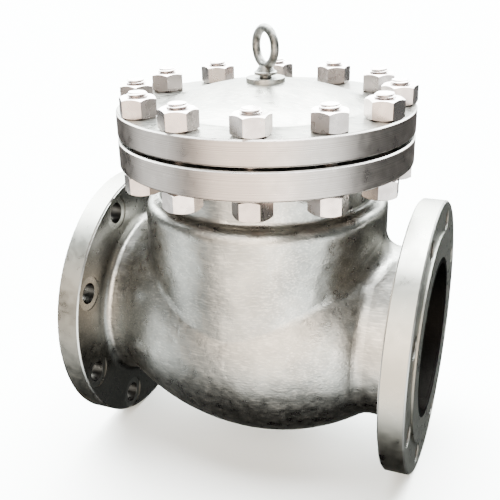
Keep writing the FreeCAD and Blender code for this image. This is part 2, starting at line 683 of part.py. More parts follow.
def eye_bolt():
    """Lifting eye: threaded shank, collar, cone and ring, from the top of its boss."""
    body = new_body("eye_bolt", x="half", z="boss_top", spin="eye_turn")
    collar_top = "(eye_stand_off + eye_collar_height)"
    ring_foot = f"({collar_top} + eye_neck_height)"
    turned(body, "shank", [
        ("0", "-eye_shank_depth"),
        ("eye_shank_dia / 2", "-eye_shank_depth"),
        ("eye_shank_dia / 2", "eye_stand_off"),
        ("eye_collar_dia / 2", "eye_stand_off"),
        ("eye_collar_dia / 2", collar_top),
        ("eye_neck_dia / 2", collar_top),
        ("eye_shank_dia / 2", ring_foot),
        ("0", ring_foot),
    ], axis="V_Axis")
    softened(body, "collar_rims", "Chamfer", "rim_chamfer / 2",
             ring_test("Z", ["eye_stand_off", collar_top], "eye_collar_dia / 2"))
    sketch = new_sketch(body, "ring_section", "XY_Plane", height=f"{ring_foot} + eye_ring_radius")
    round_hole(sketch, "eye_ring_radius", "0", "eye_section_dia / 2")
    feature = body.newObject("PartDesign::Revolution", "ring")
    feature.Profile = sketch
    feature.ReferenceAxis = (sketch, ["V_Axis"])
    feature.Angle = 360
    doc.recompute()
    return body


def seat_ring():
    """Seat ring in its counterbore, its face standing proud of the bridge wall."""
    body = at_seat("seat_ring")
    bevel = "seat_proud / 2"
    turned(body, "seat_section", [
        ("-seat_ring_depth", "bore_dia / 2"),
        ("0", "bore_dia / 2"),
        ("0", f"seat_ring_r - {bevel}"),
        (f"-{bevel}", "seat_ring_r"),
        ("-seat_ring_depth", "seat_ring_r"),
    ])
    return body


def split_pin(body, name, role, height, across, along, shaft):
    """A split pin square to a shaft: eye below, splayed legs above, in one plane of the body."""
    start = f"({along} - {shaft} / 2 - split_pin_eye / 2)"
    end = f"({along} + {shaft} / 2 + split_pin_tail / 2)"
    tip = f"({along} + {shaft} / 2 + split_pin_tail)"
    half_wire, splay = "split_pin_wire / 2", "split_pin_dia"
    stem = new_sketch(body, f"{name}_stem_sketch", role, height=height)
    outline(stem, [
        (f"{across} - {half_wire}", start),
        (f"{across} + {half_wire}", start),
        (f"{across} + {half_wire}", end),
        (f"{across} + {half_wire} + {splay}", tip),
        (f"{across} + {splay} / 2", tip),
        (across, end),
        (f"{across} - {splay} / 2", tip),
        (f"{across} - {half_wire} - {splay}", tip),
        (f"{across} - {half_wire}", end),
    ])
    legs = pushed(body, f"{name}_legs", stem, "split_pin_wire", both=True)
    eye = new_sketch(body, f"{name}_eye_sketch", role, height=height)
    centre = f"({start} - split_pin_eye / 2)"
    round_hole(eye, across, centre, "split_pin_eye")
    round_hole(eye, across, centre, "split_pin_eye - split_pin_dia / 2")
    return legs, pushed(body, f"{name}_eye", eye, "split_pin_wire", both=True)


def disc():
    """Disc with its stud, closed on the seat, along the seat's own axis."""
    body = at_seat("disc")
    rim, stud_r = "disc_r", "disc_stud_dia / 2"
    hub_end = "disc_back + disc_hub_rise"
    turned(body, "disc_section", [
        ("disc_gap + disc_relief_depth", "0"),
        ("disc_gap + disc_relief_depth", "disc_relief_r"),
        ("disc_gap", "disc_relief_r"),
        ("disc_gap", f"{rim} - rim_chamfer"),
        ("disc_gap + rim_chamfer", rim),
        ("disc_gap + disc_edge", rim),
        ("disc_back", f"{rim} - disc_thickness"),
        ("disc_back", "disc_hub_dia / 2"),
        (hub_end, "disc_hub_dia / 2 - disc_hub_rise / 2"),
        (hub_end, stud_r),
        ("disc_stud_end - stud_chamfer", stud_r),
        ("disc_stud_end", f"{stud_r} - stud_chamfer"),
        ("disc_stud_end", "0"),
    ])
    sketch = new_sketch(body, "disc_pin_hole_sketch", "XY_Plane")
    round_hole(sketch, "disc_pin_x", "0", "split_pin_dia / 2 + thread_gap")
    pushed(body, "disc_pin_hole", sketch, "disc_stud_dia", cut=True, both=True)
    return body


def disc_washer():
    body = at_seat("disc_washer")
    ring(body, "disc_washer_ring", "disc_washer_near", "disc_nut_near",
         "disc_stud_dia / 2 + disc_play", "disc_washer_dia / 2")
    return body


def disc_nut():
    """Nut on the disc stud, its hexagon square to the seat's own axis."""
    body = at_seat("disc_nut")
    sketch = new_sketch(body, "disc_nut_hexagon", "YZ_Plane", height="disc_nut_near")
    hexagon(sketch, "nut_flats")
    pushed(body, "disc_nut_block", sketch, "disc_nut_height")
    sketch = new_sketch(body, "disc_nut_bore_sketch", "YZ_Plane", height="disc_nut_near + disc_nut_height")
    round_hole(sketch, "0", "0", "disc_stud_dia / 2 + thread_gap")
    pushed(body, "disc_nut_bore", sketch, "disc_nut_height", cut=True)
    return body


def disc_split_pin():
    body = at_seat("disc_split_pin")
    split_pin(body, "disc_pin", "XZ_Plane", "0", "disc_pin_x", "0", "disc_stud_dia")
    return body


def hinge_arm():
    """Arm from the hinge pin down to the disc stud: hub, ribbed arm, boss and open stop."""
    body = at_seat("hinge_arm")
    hub_r = "(hub_dia / 2)"
    sketch = new_sketch(body, "hub_sketch", "XZ_Plane")
    round_hole(sketch, "pin_offset", "pin_height", hub_r)
    pushed(body, "hub", sketch, "hub_length", both=True)
    ring(body, "arm_boss", "arm_boss_near", "arm_boss_far", "0", "arm_boss_dia / 2")
    low = "arm_boss_dia / 2 - arm_rib"
    top_front = ("pin_offset + disc_play", "pin_height - bush_dia / 2 - rim_chamfer")
    low_front = ("arm_boss_near + rim_chamfer", low)
    top_back = (f"pin_offset + {hub_r} - rim_chamfer / 2", "pin_height - disc_play")
    low_back = ("arm_boss_far", low)
    sketch = new_sketch(body, "web_sketch", "XZ_Plane")
    outline(sketch, [top_front, low_front, low_back, top_back])
    pushed(body, "web", sketch, "arm_web", both=True)
    sketch = new_sketch(body, "rib_sketch", "XZ_Plane")
    outline(sketch, [
        top_front,
        low_front,
        (f"{low_front[0]} + arm_rib", low_front[1]),
        (f"{top_front[0]} + arm_rib", top_front[1]),
    ])
    outline(sketch, [
        (f"{top_back[0]} - arm_rib", top_back[1]),
        (f"{low_back[0]} - arm_rib", low_back[1]),
        low_back,
        top_back,
    ])
    pushed(body, "ribs", sketch, "arm_width", both=True)
    sketch = new_sketch(body, "heel_sketch", "XZ_Plane", slide="pin_offset", rise="pin_height",
                        turn="-(open_angle + seat_tilt)")
    outline(sketch, [
        ("0", "stop_height - stop_gap"),
        ("-heel_length", "heel_length"),
        ("heel_length", "heel_length / 2"),
        ("heel_length", "stop_height - stop_gap"),
    ])
    pushed(body, "stop_heel", sketch, "arm_width", both=True)
    sketch = new_sketch(body, "hub_bore_sketch", "XZ_Plane")
    round_hole(sketch, "pin_offset", "pin_height", "bush_dia / 2")
    pushed(body, "hub_bore", sketch, "hub_length", cut=True, both=True)
    sketch = new_sketch(body, "boss_bore_sketch", "YZ_Plane", height="arm_boss_far")
    round_hole(sketch, "0", "0", "disc_stud_dia / 2 + disc_stud_gap")
    pushed(body, "boss_bore", sketch, "arm_boss_length", cut=True)
    return body


def pair_of_rings(label, body, near, far, inner, outer):
    """Two equal rings on the hinge pin, one on each side of the middle."""
    first = [(near, inner), (far, inner), (far, outer), (near, outer)]
    second = [(f"-({a})", b) for a, b in first]
    turned(body, f"{label}_rings", first, second, role="YZ_Plane")
    return body


def hinge_bushes():
    """Two bushes pressed into the arm's hub."""
    body = new_body("hinge_bushes", x="pin_x", z="pin_z")
    return pair_of_rings("bush", body, "hub_length / 2 - bush_length", "hub_length / 2",
                         "pin_dia / 2 + pin_gap", "bush_dia / 2")


def hinge_pin():
    body = at_pin("hinge_pin")
    end, r, bevel = "pin_length / 2", "pin_dia / 2", "stud_chamfer"
    turned(body, "pin_section", [
        (f"-{end}", "0"),
        (f"-{end}", f"{r} - {bevel}"),
        (f"-{end} + {bevel}", r),
        (f"{end} - {bevel}", r),
        (end, f"{r} - {bevel}"),
        (end, "0"),
    ], role="YZ_Plane")
    sketch = new_sketch(body, "pin_hole_sketch", "XY_Plane")
    round_hole(sketch, "0", "hinge_split_y", "split_pin_dia / 2 + thread_gap")
    round_hole(sketch, "0", "-(hinge_split_y)", "split_pin_dia / 2 + thread_gap")
    pushed(body, "pin_holes", sketch, "pin_dia", cut=True, both=True)
    return body


def hinge_pin_washers():
    body = at_pin("hinge_pin_washers")
    near = "lug_outer + washer_play"
    return pair_of_rings("pin_washer", body, near, f"{near} + washer_thickness",
                         "pin_dia / 2 + washer_play", "washer_dia / 2")


def hinge_pin_split_pins():
    body = at_pin("hinge_pin_split_pins")
    features = split_pin(body, "pin_split", "XZ_Plane", "hinge_split_y", "0", "0", "pin_dia")
    mirrored(body, *features)
    return body


def hinge_bracket():
    """Bracket bolted to the ledge: two legs, two lugs for the pin, and a crossbar over the hub."""
    body = at_pin("hinge_bracket")

    def slab(name, length, low, high, inner):
        sketch = new_sketch(body, f"{name}_sketch", "XZ_Plane")
        rectangle(sketch, "-bracket_r", "bracket_r", low, high)
        pushed(body, name, sketch, length, both=True)
        sketch = new_sketch(body, f"{name}_gap_sketch", "XZ_Plane")
        rectangle(sketch, "-bracket_r", "bracket_r", low, "stop_height")
        pushed(body, f"{name}_gap", sketch, inner, cut=True, both=True)

    slab("legs", "2 * pad_outer", "leg_foot", "crossbar_top", "2 * pad_inner")
    sketch = new_sketch(body, "lug_sketch", "XZ_Plane")
    outline(sketch, [
        ("-bracket_r", "0", "bracket_r", -1),
        ("0", "-bracket_r", "bracket_r", -1),
        ("bracket_r", "0"),
        ("bracket_r", "stop_height"),
        ("-bracket_r", "stop_height"),
    ])
    lug = pushed(body, "lug", sketch, "lug_outer - lug_inner")
    sketch.setExpression("AttachmentOffset.Base.z", linked("lug_inner"))
    doc.recompute()
    mirrored(body, lug)
    sketch = new_sketch(body, "pin_bore_sketch", "XZ_Plane")
    round_hole(sketch, "0", "0", "pin_dia / 2 + pin_gap")
    pushed(body, "pin_bore", sketch, "2 * lug_outer", cut=True, both=True)
    sketch = new_sketch(body, "leg_hole_sketch", "XY_Plane", height="crossbar_top")
    for place in ("leg_centre", "-(leg_centre)"):
        round_hole(sketch, "0", place, "bracket_bolt_hole_dia / 2")
    pushed(body, "leg_holes", sketch, "crossbar_top - leg_foot", cut=True)

    def is_outer_corner(edge):
        ends = [v.Point for v in edge.Vertexes]
        return (not edge.Degenerated and isinstance(edge.Curve, Part.Line)
                and abs(ends[0].z - ends[-1].z) > NEAR
                and all(abs(abs(p.y) - value("pad_outer")) < NEAR for p in ends))

    softened(body, "bracket_corners", "Fillet", "bracket_r / 3", is_outer_corner)
    return body


def bracket_bolts():
    """Hexagon bolts down through the bracket's legs into the body's pads."""
    body = at_pin("bracket_bolts")
    seat = "(crossbar_top + lock_washer_height)"
    tip = "(leg_foot - bracket_bolt_grip)"
    sketch = new_sketch(body, "bolt_shank_sketch", "XY_Plane", height=tip)
    round_hole(sketch, "0", "leg_centre", "bracket_bolt_dia / 2")
    shank = pushed(body, "bolt_shank", sketch, f"{seat} - {tip}")
    sketch = new_sketch(body, "bolt_head_sketch", "XY_Plane", height=seat)
    hexagon(sketch, "bracket_bolt_flats", along="leg_centre")
    head = pushed(body, "bolt_head", sketch, "bracket_bolt_head")
    bevel = hex_chamfers(body, "bolt_bevel", "bracket_bolt_flats",
                         [(f"{seat} + bracket_bolt_head", "-")], height="-(leg_centre)")
    mirrored(body, shank, head, bevel)
    return body


def bracket_lock_washers():
    """Split spring washers under the bracket bolts' heads."""
    body = at_pin("bracket_lock_washers")
    sketch = new_sketch(body, "lock_sketch", "XY_Plane", height="crossbar_top")
    round_hole(sketch, "0", "leg_centre", "lock_washer_dia / 2")
    round_hole(sketch, "0", "leg_centre", "lock_washer_bore / 2")
    washer = pushed(body, "lock_ring", sketch, "lock_washer_height")
    sketch = new_sketch(body, "slit_sketch", "XY_Plane", height="crossbar_top + lock_washer_height")
    rectangle(sketch, "0", "lock_washer_dia", "leg_centre - rim_chamfer / 2", "leg_centre + rim_chamfer / 2")
    slit = pushed(body, "lock_slit", sketch, "lock_washer_height", cut=True)
    mirrored(body, washer, slit)
    return body


cover_nut = nut("cover_nut", "nut_flats", "nut_height", "stud_dia / 2 + thread_gap")
NODES = [
    valve_body(),
    seat_ring(),
    cover(),
    cover_gasket(),
    cover_studs(),
    nuts_round("cover_nuts_top", cover_nut, "cover_top", TOP_NUT_TURNS),
    nuts_round("cover_nuts_bottom", cover_nut, "body_flange_under - nut_height", BOTTOM_NUT_TURNS),
    eye_bolt(),
    hinge_bracket(),
    bracket_bolts(),
    bracket_lock_washers(),
    hinge_pin(),
    hinge_pin_washers(),
    hinge_pin_split_pins(),
    hinge_bushes(),
    hinge_arm(),
    disc(),
    disc_washer(),
    disc_nut(),
    disc_split_pin(),
]
doc.recompute()
for item in doc.Objects:
    if "Invalid" in item.State or "Error" in item.State:
        raise RuntimeError(f"{item.Name} failed: {item.State}")
for node in NODES:
    if node.Shape.isNull() or not node.Shape.isValid():
        raise RuntimeError(f"{node.Label} has no valid shape")
os.makedirs("parts", exist_ok=True)
for node in NODES:
    node.Shape.exportStep(f"parts/{node.Label}.step")
    print(node.Label, len(node.Shape.Solids), round(node.Shape.Volume / 1000, 1), "cm3")
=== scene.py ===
# %% [markdown]
# # A swing check valve
# This lesson gives a cast steel non-return valve its finish. The metal parts come in as a fixed
# frame, already in place and at real size, so nothing here moves or scales them. What is left
# for Blender is how each piece was made: poured in sand, turned on a lathe, forged, plated or
# painted, and the threads, which a drawing only hints at. Every size is in metres.

# %% Load the frame
import math

import bmesh
import bpy
from mathutils import Matrix, Vector


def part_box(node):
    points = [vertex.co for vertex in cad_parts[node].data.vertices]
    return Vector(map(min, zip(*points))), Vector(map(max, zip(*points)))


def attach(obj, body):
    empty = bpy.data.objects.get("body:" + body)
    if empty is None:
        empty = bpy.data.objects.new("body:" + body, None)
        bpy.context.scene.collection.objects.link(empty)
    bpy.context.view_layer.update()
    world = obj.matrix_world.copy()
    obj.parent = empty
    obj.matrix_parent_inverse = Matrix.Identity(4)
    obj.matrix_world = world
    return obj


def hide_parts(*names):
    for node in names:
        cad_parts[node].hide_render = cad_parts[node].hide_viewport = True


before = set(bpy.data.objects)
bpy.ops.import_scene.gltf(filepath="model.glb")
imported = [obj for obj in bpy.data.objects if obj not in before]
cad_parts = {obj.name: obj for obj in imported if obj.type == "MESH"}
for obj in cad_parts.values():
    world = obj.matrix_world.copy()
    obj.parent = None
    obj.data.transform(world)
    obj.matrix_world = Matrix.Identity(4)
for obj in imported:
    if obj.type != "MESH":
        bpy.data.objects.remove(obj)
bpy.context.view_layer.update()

print("nodes in the frame:", len(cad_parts))

# %% [markdown]
# ## Sizes that the finishes need
# A pattern on a real part starts at an edge or an axis of that part. Most places are measured
# on the frame, so that a finish stays on its part if the valve is built again with other sizes.
# The few that no box shows, such as the bore, are written down once.

# %% Measure the frame
MM = 0.001

body_low, body_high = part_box("body")
cover_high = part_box("cover")[1]
gasket_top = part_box("cover_gasket")[1].z
face_to_face = body_high.x
flange_radius = -body_low.z
cover_radius = cover_high.y
chimney_x = face_to_face / 2
print("face to face", round(face_to_face / MM, 1), "mm")
print("end flange diameter", round(2 * flange_radius / MM, 1), "mm")
print("cover diameter", round(2 * cover_radius / MM, 1), "mm")

# %% Sizes from the drawing
bore_radius = 76.2 * MM
neck_radius = 88.2 * MM
end_flange_thickness = 26.5 * MM
raised_face_height = 1.6 * MM
body_flange_thickness = 27 * MM
cover_flange_thickness = 24 * MM
rim_bevel = 1.5 * MM
bolt_circle_radius = 120.65 * MM
print("wall at the pipe ends", round((neck_radius - bore_radius) / MM, 1), "mm")

# %% [markdown]
# ## The camera
# The lens and its place are found from the photograph: the two end flanges, the cover's rim and
# the studs are circles of known size, and only one camera draws all of them where they are. It
# stands to the right of the valve's front, above it, and looks down. A camera with no turn
# looks straight down, so it is tipped up by a quarter turn less the downward look, then swung
# to the left. Last comes a small roll about its own line of sight, because the photograph is
# not quite level.

# %% Camera
camera_from_chimney = Vector((0.2668, -0.7108, 0.3870))
look_left = math.radians(21.98)
look_down = math.radians(22.54)
lens_roll = math.radians(-1.155)
field_of_view = math.radians(35.96)

camera_data = bpy.data.cameras.new("camera")
camera_data.sensor_width = 36
camera_data.angle = field_of_view
camera = bpy.data.objects.new("camera", camera_data)
bpy.context.scene.collection.objects.link(camera)
camera_place = Matrix.Translation(Vector((chimney_x, 0, 0)) + camera_from_chimney)
swing = Matrix.Rotation(look_left, 4, "Z")
tip_up = Matrix.Rotation(math.pi / 2 - look_down, 4, "X")
roll = Matrix.Rotation(lens_roll, 4, "Z")
camera.matrix_world = camera_place @ swing @ tip_up @ roll
bpy.context.scene.camera = camera
print("lens", round(camera_data.lens, 1), "mm")

# %% [markdown]
# ## Three small helpers
# A colour is picked as a web colour, which is how a screen shows it, but a shader adds light up
# in linear values. So one function turns the one into the other. A second one adds a shader
# node, sets its settings and feeds its inputs: with a number, with a socket, or with another
# node, whose first output is then taken. A third starts a material that has no nodes yet. A Mix
# node has sockets for every kind of value, so its two colours and the mixed colour are told
# apart by their numbers.

# %% Colours and nodes
COLOUR_A, COLOUR_B = 6, 7
MIXED_COLOUR = 2


def linear(web_colour):
    """The linear colour of a web colour such as #C0C0C0."""
    channels = []
    for start in (1, 3, 5):
        shown = int(web_colour[start:start + 2], 16) / 255
        if shown <= 0.04045:
            channels.append(shown / 12.92)
        else:
            channels.append(((shown + 0.055) / 1.055) ** 2.4)
    return (*channels, 1.0)


def add_node(material, kind, inputs=None, **settings):
    """A new node of the kind, with its settings, and with its inputs set or linked."""
    node = material.node_tree.nodes.new("ShaderNode" + kind)
    for name, setting in settings.items():
        setattr(node, name, setting)
    for socket, feed in (inputs or {}).items():
        if isinstance(feed, bpy.types.Node):
            feed = feed.outputs[0]
        if isinstance(feed, bpy.types.NodeSocket):
            material.node_tree.links.new(feed, node.inputs[socket])
        else:
            node.inputs[socket].default_value = feed
    return node


def new_material(name):
    """An empty material that is ready for its nodes."""
    material = bpy.data.materials.new(name)
    material.use_nodes = True
    material.node_tree.nodes.clear()
    return material


# %% [markdown]
# ## The floor
# A metal part is a mirror with a matt edge: what it shows is mostly its surroundings. A white
# table would make its underside as bright as its top, and the round shapes would go flat. Dark
# cards round the valve would stop that, but they would show in the picture. So the table is
# only kept out of the reflections, and the walls round it are drawn for them instead.

# %% Floor
floor_radius = 25

floor_mesh = bmesh.new()
bmesh.ops.create_circle(floor_mesh, cap_ends=True, segments=64, radius=floor_radius)
bmesh.ops.translate(floor_mesh, verts=floor_mesh.verts, vec=(chimney_x, 0, body_low.z))
floor_data = bpy.data.meshes.new("floor")
floor_mesh.to_mesh(floor_data)
floor_mesh.free()
floor = bpy.data.objects.new("floor", floor_data)
bpy.context.scene.collection.objects.link(floor)
floor.visible_glossy = False

# uncoated paper: nearly white, with no shine of its own
floor_paper = new_material("white_backdrop_paper")
paper = add_node(floor_paper, "BsdfPrincipled", {
    "Base Color": linear("#F6F6F5"),
    "Roughness": 0.9,
    "Specular IOR Level": 0.2,
})
add_node(floor_paper, "OutputMaterial", {"Surface": paper})
floor_data.materials.append(floor_paper)
print("floor at", round(body_low.z / MM, 1), "mm")

# %% [markdown]
# ## The backdrop
# A picture taken from low down looks past the floor's edge, and has to end in a plain pale
# surface there too. A wall would cast and catch light, and would have to turn with every view.
# So the backdrop is half a ball that glows faintly and that only the camera sees.

# %% Backdrop
backdrop_radius = 24
backdrop_foot = (0, 0, -0.5)

backdrop_mesh = bmesh.new()
bmesh.ops.create_uvsphere(backdrop_mesh, u_segments=64, v_segments=32, radius=backdrop_radius)
bmesh.ops.bisect_plane(
    backdrop_mesh, geom=[*backdrop_mesh.verts, *backdrop_mesh.edges, *backdrop_mesh.faces],
    plane_co=backdrop_foot, plane_no=(0, 0, 1), clear_inner=True,
)
backdrop_data = bpy.data.meshes.new("backdrop")
backdrop_mesh.to_mesh(backdrop_data)
backdrop_mesh.free()
backdrop = bpy.data.objects.new("backdrop", backdrop_data)
bpy.context.scene.collection.objects.link(backdrop)
backdrop.visible_diffuse = False
backdrop.visible_glossy = False
backdrop.visible_transmission = False
backdrop.visible_shadow = False

# lit cotton cloth, so far off that it is one even white
backdrop_cloth = new_material("white_backdrop_cloth")
cloth_glow = add_node(backdrop_cloth, "Emission", {"Color": linear("#F4F4F3"), "Strength": 5.0})
add_node(backdrop_cloth, "OutputMaterial", {"Surface": cloth_glow})
backdrop_data.materials.append(backdrop_cloth)
print("backdrop faces:", len(backdrop_data.polygons))

# %% [markdown]
# ## The overhead lamp
# A studio hangs a wide cloth over the table, and its light puts the pool of soft shadow under
# the valve. A square area lamp would need a size and a height, and would grow weaker at the
# flanges. A sun lamp that is fifty degrees wide gives the same soft edge and the same light
# everywhere.

# %% Overhead lamp
overhead_data = bpy.data.lights.new("overhead_light", "SUN")
overhead_data.energy = 8.0
overhead_data.angle = math.radians(50)
overhead = bpy.data.objects.new("overhead_light", overhead_data)
bpy.context.scene.collection.objects.link(overhead)
overhead.matrix_world = Matrix.Rotation(math.radians(-10), 4, "X")
print("lamps:", len(bpy.data.lights))

# %% [markdown]
# ## The walls
# The walls are what the metal mirrors. They could be panels that stand round the valve, but
# panels have hard edges, and a shiny nut would show them. So they are a sky with soft patches
# of light. Each patch is given by where it stands, by how wide its bright middle and its faded
# edge are, and by its strength. Every upright wall of the valve mirrors what lies below the
# horizon, because the camera looks down at it.

# %% One patch of light
walls = bpy.data.worlds.new("studio_walls")
walls.use_nodes = True
bpy.context.scene.world = walls
walls.node_tree.nodes.clear()
heading = add_node(walls, "TexCoord").outputs["Generated"]


def light_patch(to_the_right, upward, bright_angle, faded_angle):
    """A patch of the walls, at so many degrees to the right of the valve's front and above it."""
    turn = math.radians(to_the_right)
    rise = math.radians(upward)
    middle = (math.sin(turn) * math.cos(rise), -math.cos(turn) * math.cos(rise), math.sin(rise))
    nearness = add_node(walls, "VectorMath", {0: heading, 1: middle}, operation="DOT_PRODUCT")
    return add_node(walls, "MapRange", {
        "Value": nearness.outputs["Value"],
        "From Min": math.cos(math.radians(faded_angle)),
        "From Max": math.cos(math.radians(bright_angle)),
    }, interpolation_type="SMOOTHSTEP")


# %% Walls
faint_glow = 0.25
behind_and_above = (light_patch(200, 46, 32, 60), 38.0)  # what the top of the cover mirrors
front_and_above = (light_patch(0, 32, 11, 37), 9.0)  # lights the upper half of the belly
front_and_low = (light_patch(5, -20, 14, 42), 5.6)  # the bright middle of the upright walls
right_and_low = (light_patch(52, -18, 12, 38), 6.0)  # the right side of the chimney
left_and_low = (light_patch(-72, -20, 10, 30), 3.4)  # a soft line on the left flange's rim
straight_down = (light_patch(0, -90, 15, 50), -faint_glow)  # takes the glow away underneath
patches = (
    behind_and_above, front_and_above, front_and_low, right_and_low, left_and_low, straight_down
)

glow = faint_glow
for patch, strength in patches:
    glow = add_node(walls, "Math", {0: patch, 1: strength, 2: glow}, operation="MULTIPLY_ADD")
wall_shade = add_node(walls, "Mix", {
    "Factor": light_patch(0, 5, 15, 60),
    COLOUR_A: linear("#E8F0EF"),
    COLOUR_B: linear("#FFF0DD"),
}, data_type="RGBA")
wall_light = add_node(walls, "Background", {
    "Color": wall_shade.outputs[MIXED_COLOUR], "Strength": glow,
})
add_node(walls, "OutputWorld", {"Surface": wall_light})
print("patches of light on the walls:", len(patches))

# %% [markdown]
# ## Where a point lies on the valve
# One casting carries several finishes: sand skin on the belly, turned rims, and a bare inside.
# They part where the tool stopped, which is a distance from the pipe's axis or from the
# chimney's. Each face could be given its finish by hand, but a border would then follow the
# triangles. These helpers work out such distances inside a material instead, so that a border
# is as sharp as the tool's.

# %% Places and distances
FAR = 9.0


def distance_from_axis(material, place, axis, centre):
    """The distance of a point from a line along X, Y or Z through the centre."""
    kept = {"X": (0, 1, 1), "Y": (1, 0, 1), "Z": (1, 1, 0)}[axis]
    from_centre = add_node(material, "VectorMath", {0: place, 1: centre}, operation="SUBTRACT")
    across = add_node(material, "VectorMath", {0: from_centre, 1: kept}, operation="MULTIPLY")
    return add_node(material, "VectorMath", {0: across}, operation="LENGTH").outputs["Value"]


def locate(material):
    """A point's place on the valve in metres, its parts, and its distances from the two axes."""
    place = add_node(material, "TexCoord").outputs["Object"]
    parts = add_node(material, "SeparateXYZ", {0: place})
    return {
        "place": place,
        "x": parts.outputs["X"],
        "z": parts.outputs["Z"],
        "around_pipe": distance_from_axis(material, place, "X", (0, 0, 0)),
        "around_chimney": distance_from_axis(material, place, "Z", (chimney_x, 0, 0)),
    }


# %% [markdown]
# A mask is a value that is 1 on one finish and 0 on the others. Masks are cut from distances,
# then joined: a rim is what lies far out and also near an end.

# %% Masks
def band(material, measure, low, high, softness=0.2 * MM):
    """A mask that is 1 where the measure lies between low and high, with soft ends."""
    past_low = add_node(material, "MapRange", {
        "Value": measure, "From Min": low - softness, "From Max": low + softness,
    })
    past_high = add_node(material, "MapRange", {
        "Value": measure, "From Min": high - softness, "From Max": high + softness,
    })
    return add_node(material, "Math", {0: past_low, 1: past_high}, operation="SUBTRACT")


def all_of(material, *masks):
    """A mask that is 1 only where every mask is."""
    joined = masks[0]
    for mask in masks[1:]:
        joined = add_node(material, "Math", {0: joined, 1: mask}, operation="MULTIPLY")
    return joined


def any_of(material, *masks):
    """A mask that is 1 where any mask is."""
    joined = masks[0]
    for mask in masks[1:]:
        joined = add_node(material, "Math", {0: joined, 1: mask}, operation="MAXIMUM")
    return joined


def weighed(material, *parts):
    """The sum of some values, each taken times its weight."""
    total = 0.0
    for value, weight in parts:
        total = add_node(
            material, "Math", {0: value, 1: weight, 2: total}, operation="MULTIPLY_ADD"
        )
    return total


# %% [markdown]
# ## The skin of a sand casting
# Sand leaves three marks in steel: long swells where the mould gave way, some 34 mm apart,
# dimples of about 9 mm, and the grain of the sand itself. A grinder then goes over the outside
# and leaves short strokes, in one direction here and in another there. One big noise would look
# like clay, so each mark is a noise of its own size, and their heights add up. Sand is about
# 0.3 mm and a scratch is finer still, too fine to show, so both are drawn 1.5 mm wide.

# %% Sizes of the skin's marks
swell_width, swell_depth = 34 * MM, 1.2 * MM
dimple_width, dimple_depth = 9 * MM, 0.36 * MM
sand_width, sand_depth = 1.5 * MM, 0.06 * MM
stroke_width, stroke_depth = 1.5 * MM, 0.12 * MM
stroke_stretch = (0.14, 1.0, 1.0)
stroke_bend = 9 * MM
ground_patch_width = 45 * MM
first_stroke_turn = (0.3, 0.5, 0.7)
second_stroke_turn = (1.3, -0.6, 2.2)
print("a stroke is about", round(stroke_width / MM / stroke_stretch[0]), "mm long")


# %% Grinder strokes
def grinder_strokes(material, place):
    """Short bent scratches, which run one way on some patches and another way on the others."""
    drift = add_node(material, "TexNoise", {
        "Vector": place, "Scale": 1 / ground_patch_width, "Detail": 0.0,
    })
    bent = add_node(material, "VectorMath", {
        0: drift.outputs["Color"], 1: (stroke_bend, stroke_bend, stroke_bend), 2: place,
    }, operation="MULTIPLY_ADD")
    first = add_node(material, "MapRange", {"Value": drift, "From Min": 0.44, "From Max": 0.56})
    second = add_node(material, "Math", {0: 1.0, 1: first}, operation="SUBTRACT")
    strokes = 0.0
    for turn, share in ((first_stroke_turn, first), (second_stroke_turn, second)):
        stretched = add_node(material, "Mapping", {
            "Vector": bent, "Rotation": turn, "Scale": stroke_stretch,
        })
        scratches = add_node(material, "TexNoise", {
            "Vector": stretched, "Scale": 1 / stroke_width, "Detail": 1.0,
        })
        strokes = add_node(
            material, "Math", {0: scratches, 1: share, 2: strokes}, operation="MULTIPLY_ADD"
        )
    return strokes


# %% Cast skin
def cast_skin(material, place):
    """The height of a ground sand-cast surface in metres, and its dimples and strokes."""
    swells = add_node(material, "TexNoise", {
        "Vector": place, "Scale": 1 / swell_width, "Detail": 1.0,
    })
    dimples = add_node(material, "TexNoise", {
        "Vector": place, "Scale": 1 / dimple_width,
        "Detail": 2.0, "Roughness": 0.55, "Distortion": 0.4,
    })
    sand = add_node(material, "TexNoise", {
        "Vector": place, "Scale": 1 / sand_width, "Detail": 2.0,
    })
    strokes = grinder_strokes(material, place)
    height = weighed(
        material,
        (swells, swell_depth),
        (dimples, dimple_depth),
        (sand, sand_depth),
        (strokes, stroke_depth),
    )
    return height, dimples, strokes


# %% [markdown]
# ## Castings under aluminium paint
# The body and the cover were poured in sand moulds, ground, and painted with aluminium paint.
# The flange rims were turned on a lathe and then painted with the rest. Two materials with a
# border between them would need the casting cut in two. So one material carries all of its
# finishes, and the first step is a mask for each: the rims, the flanges' front faces, the bolt
# holes, and the flanges' backs, which get painted shade.

# %% Turned parts of the casting
def end_rim_mask(material, point):
    """A mask for the rims of the two end flanges."""
    outermost = band(material, point["around_pipe"], flange_radius - rim_bevel, FAR)
    at_ends = any_of(
        material,
        band(material, point["x"], -FAR, end_flange_thickness),
        band(material, point["x"], face_to_face - end_flange_thickness, FAR),
    )
    return all_of(material, outermost, at_ends)


def cover_rim_mask(material, point):
    """A mask for the rim of the cover, and of the body flange under it."""
    outermost = band(material, point["around_chimney"], cover_radius - rim_bevel, FAR)
    low = body_high.z - body_flange_thickness
    high = gasket_top + cover_flange_thickness
    return all_of(material, outermost, band(material, point["z"], low, high))


def front_face_mask(material, point):
    """A mask for the front faces of the end flanges, with the raised part that takes a gasket."""
    face_depth = raised_face_height + rim_bevel / 3
    return any_of(
        material,
        band(material, point["x"], -FAR, face_depth),
        band(material, point["x"], face_to_face - face_depth, FAR),
    )


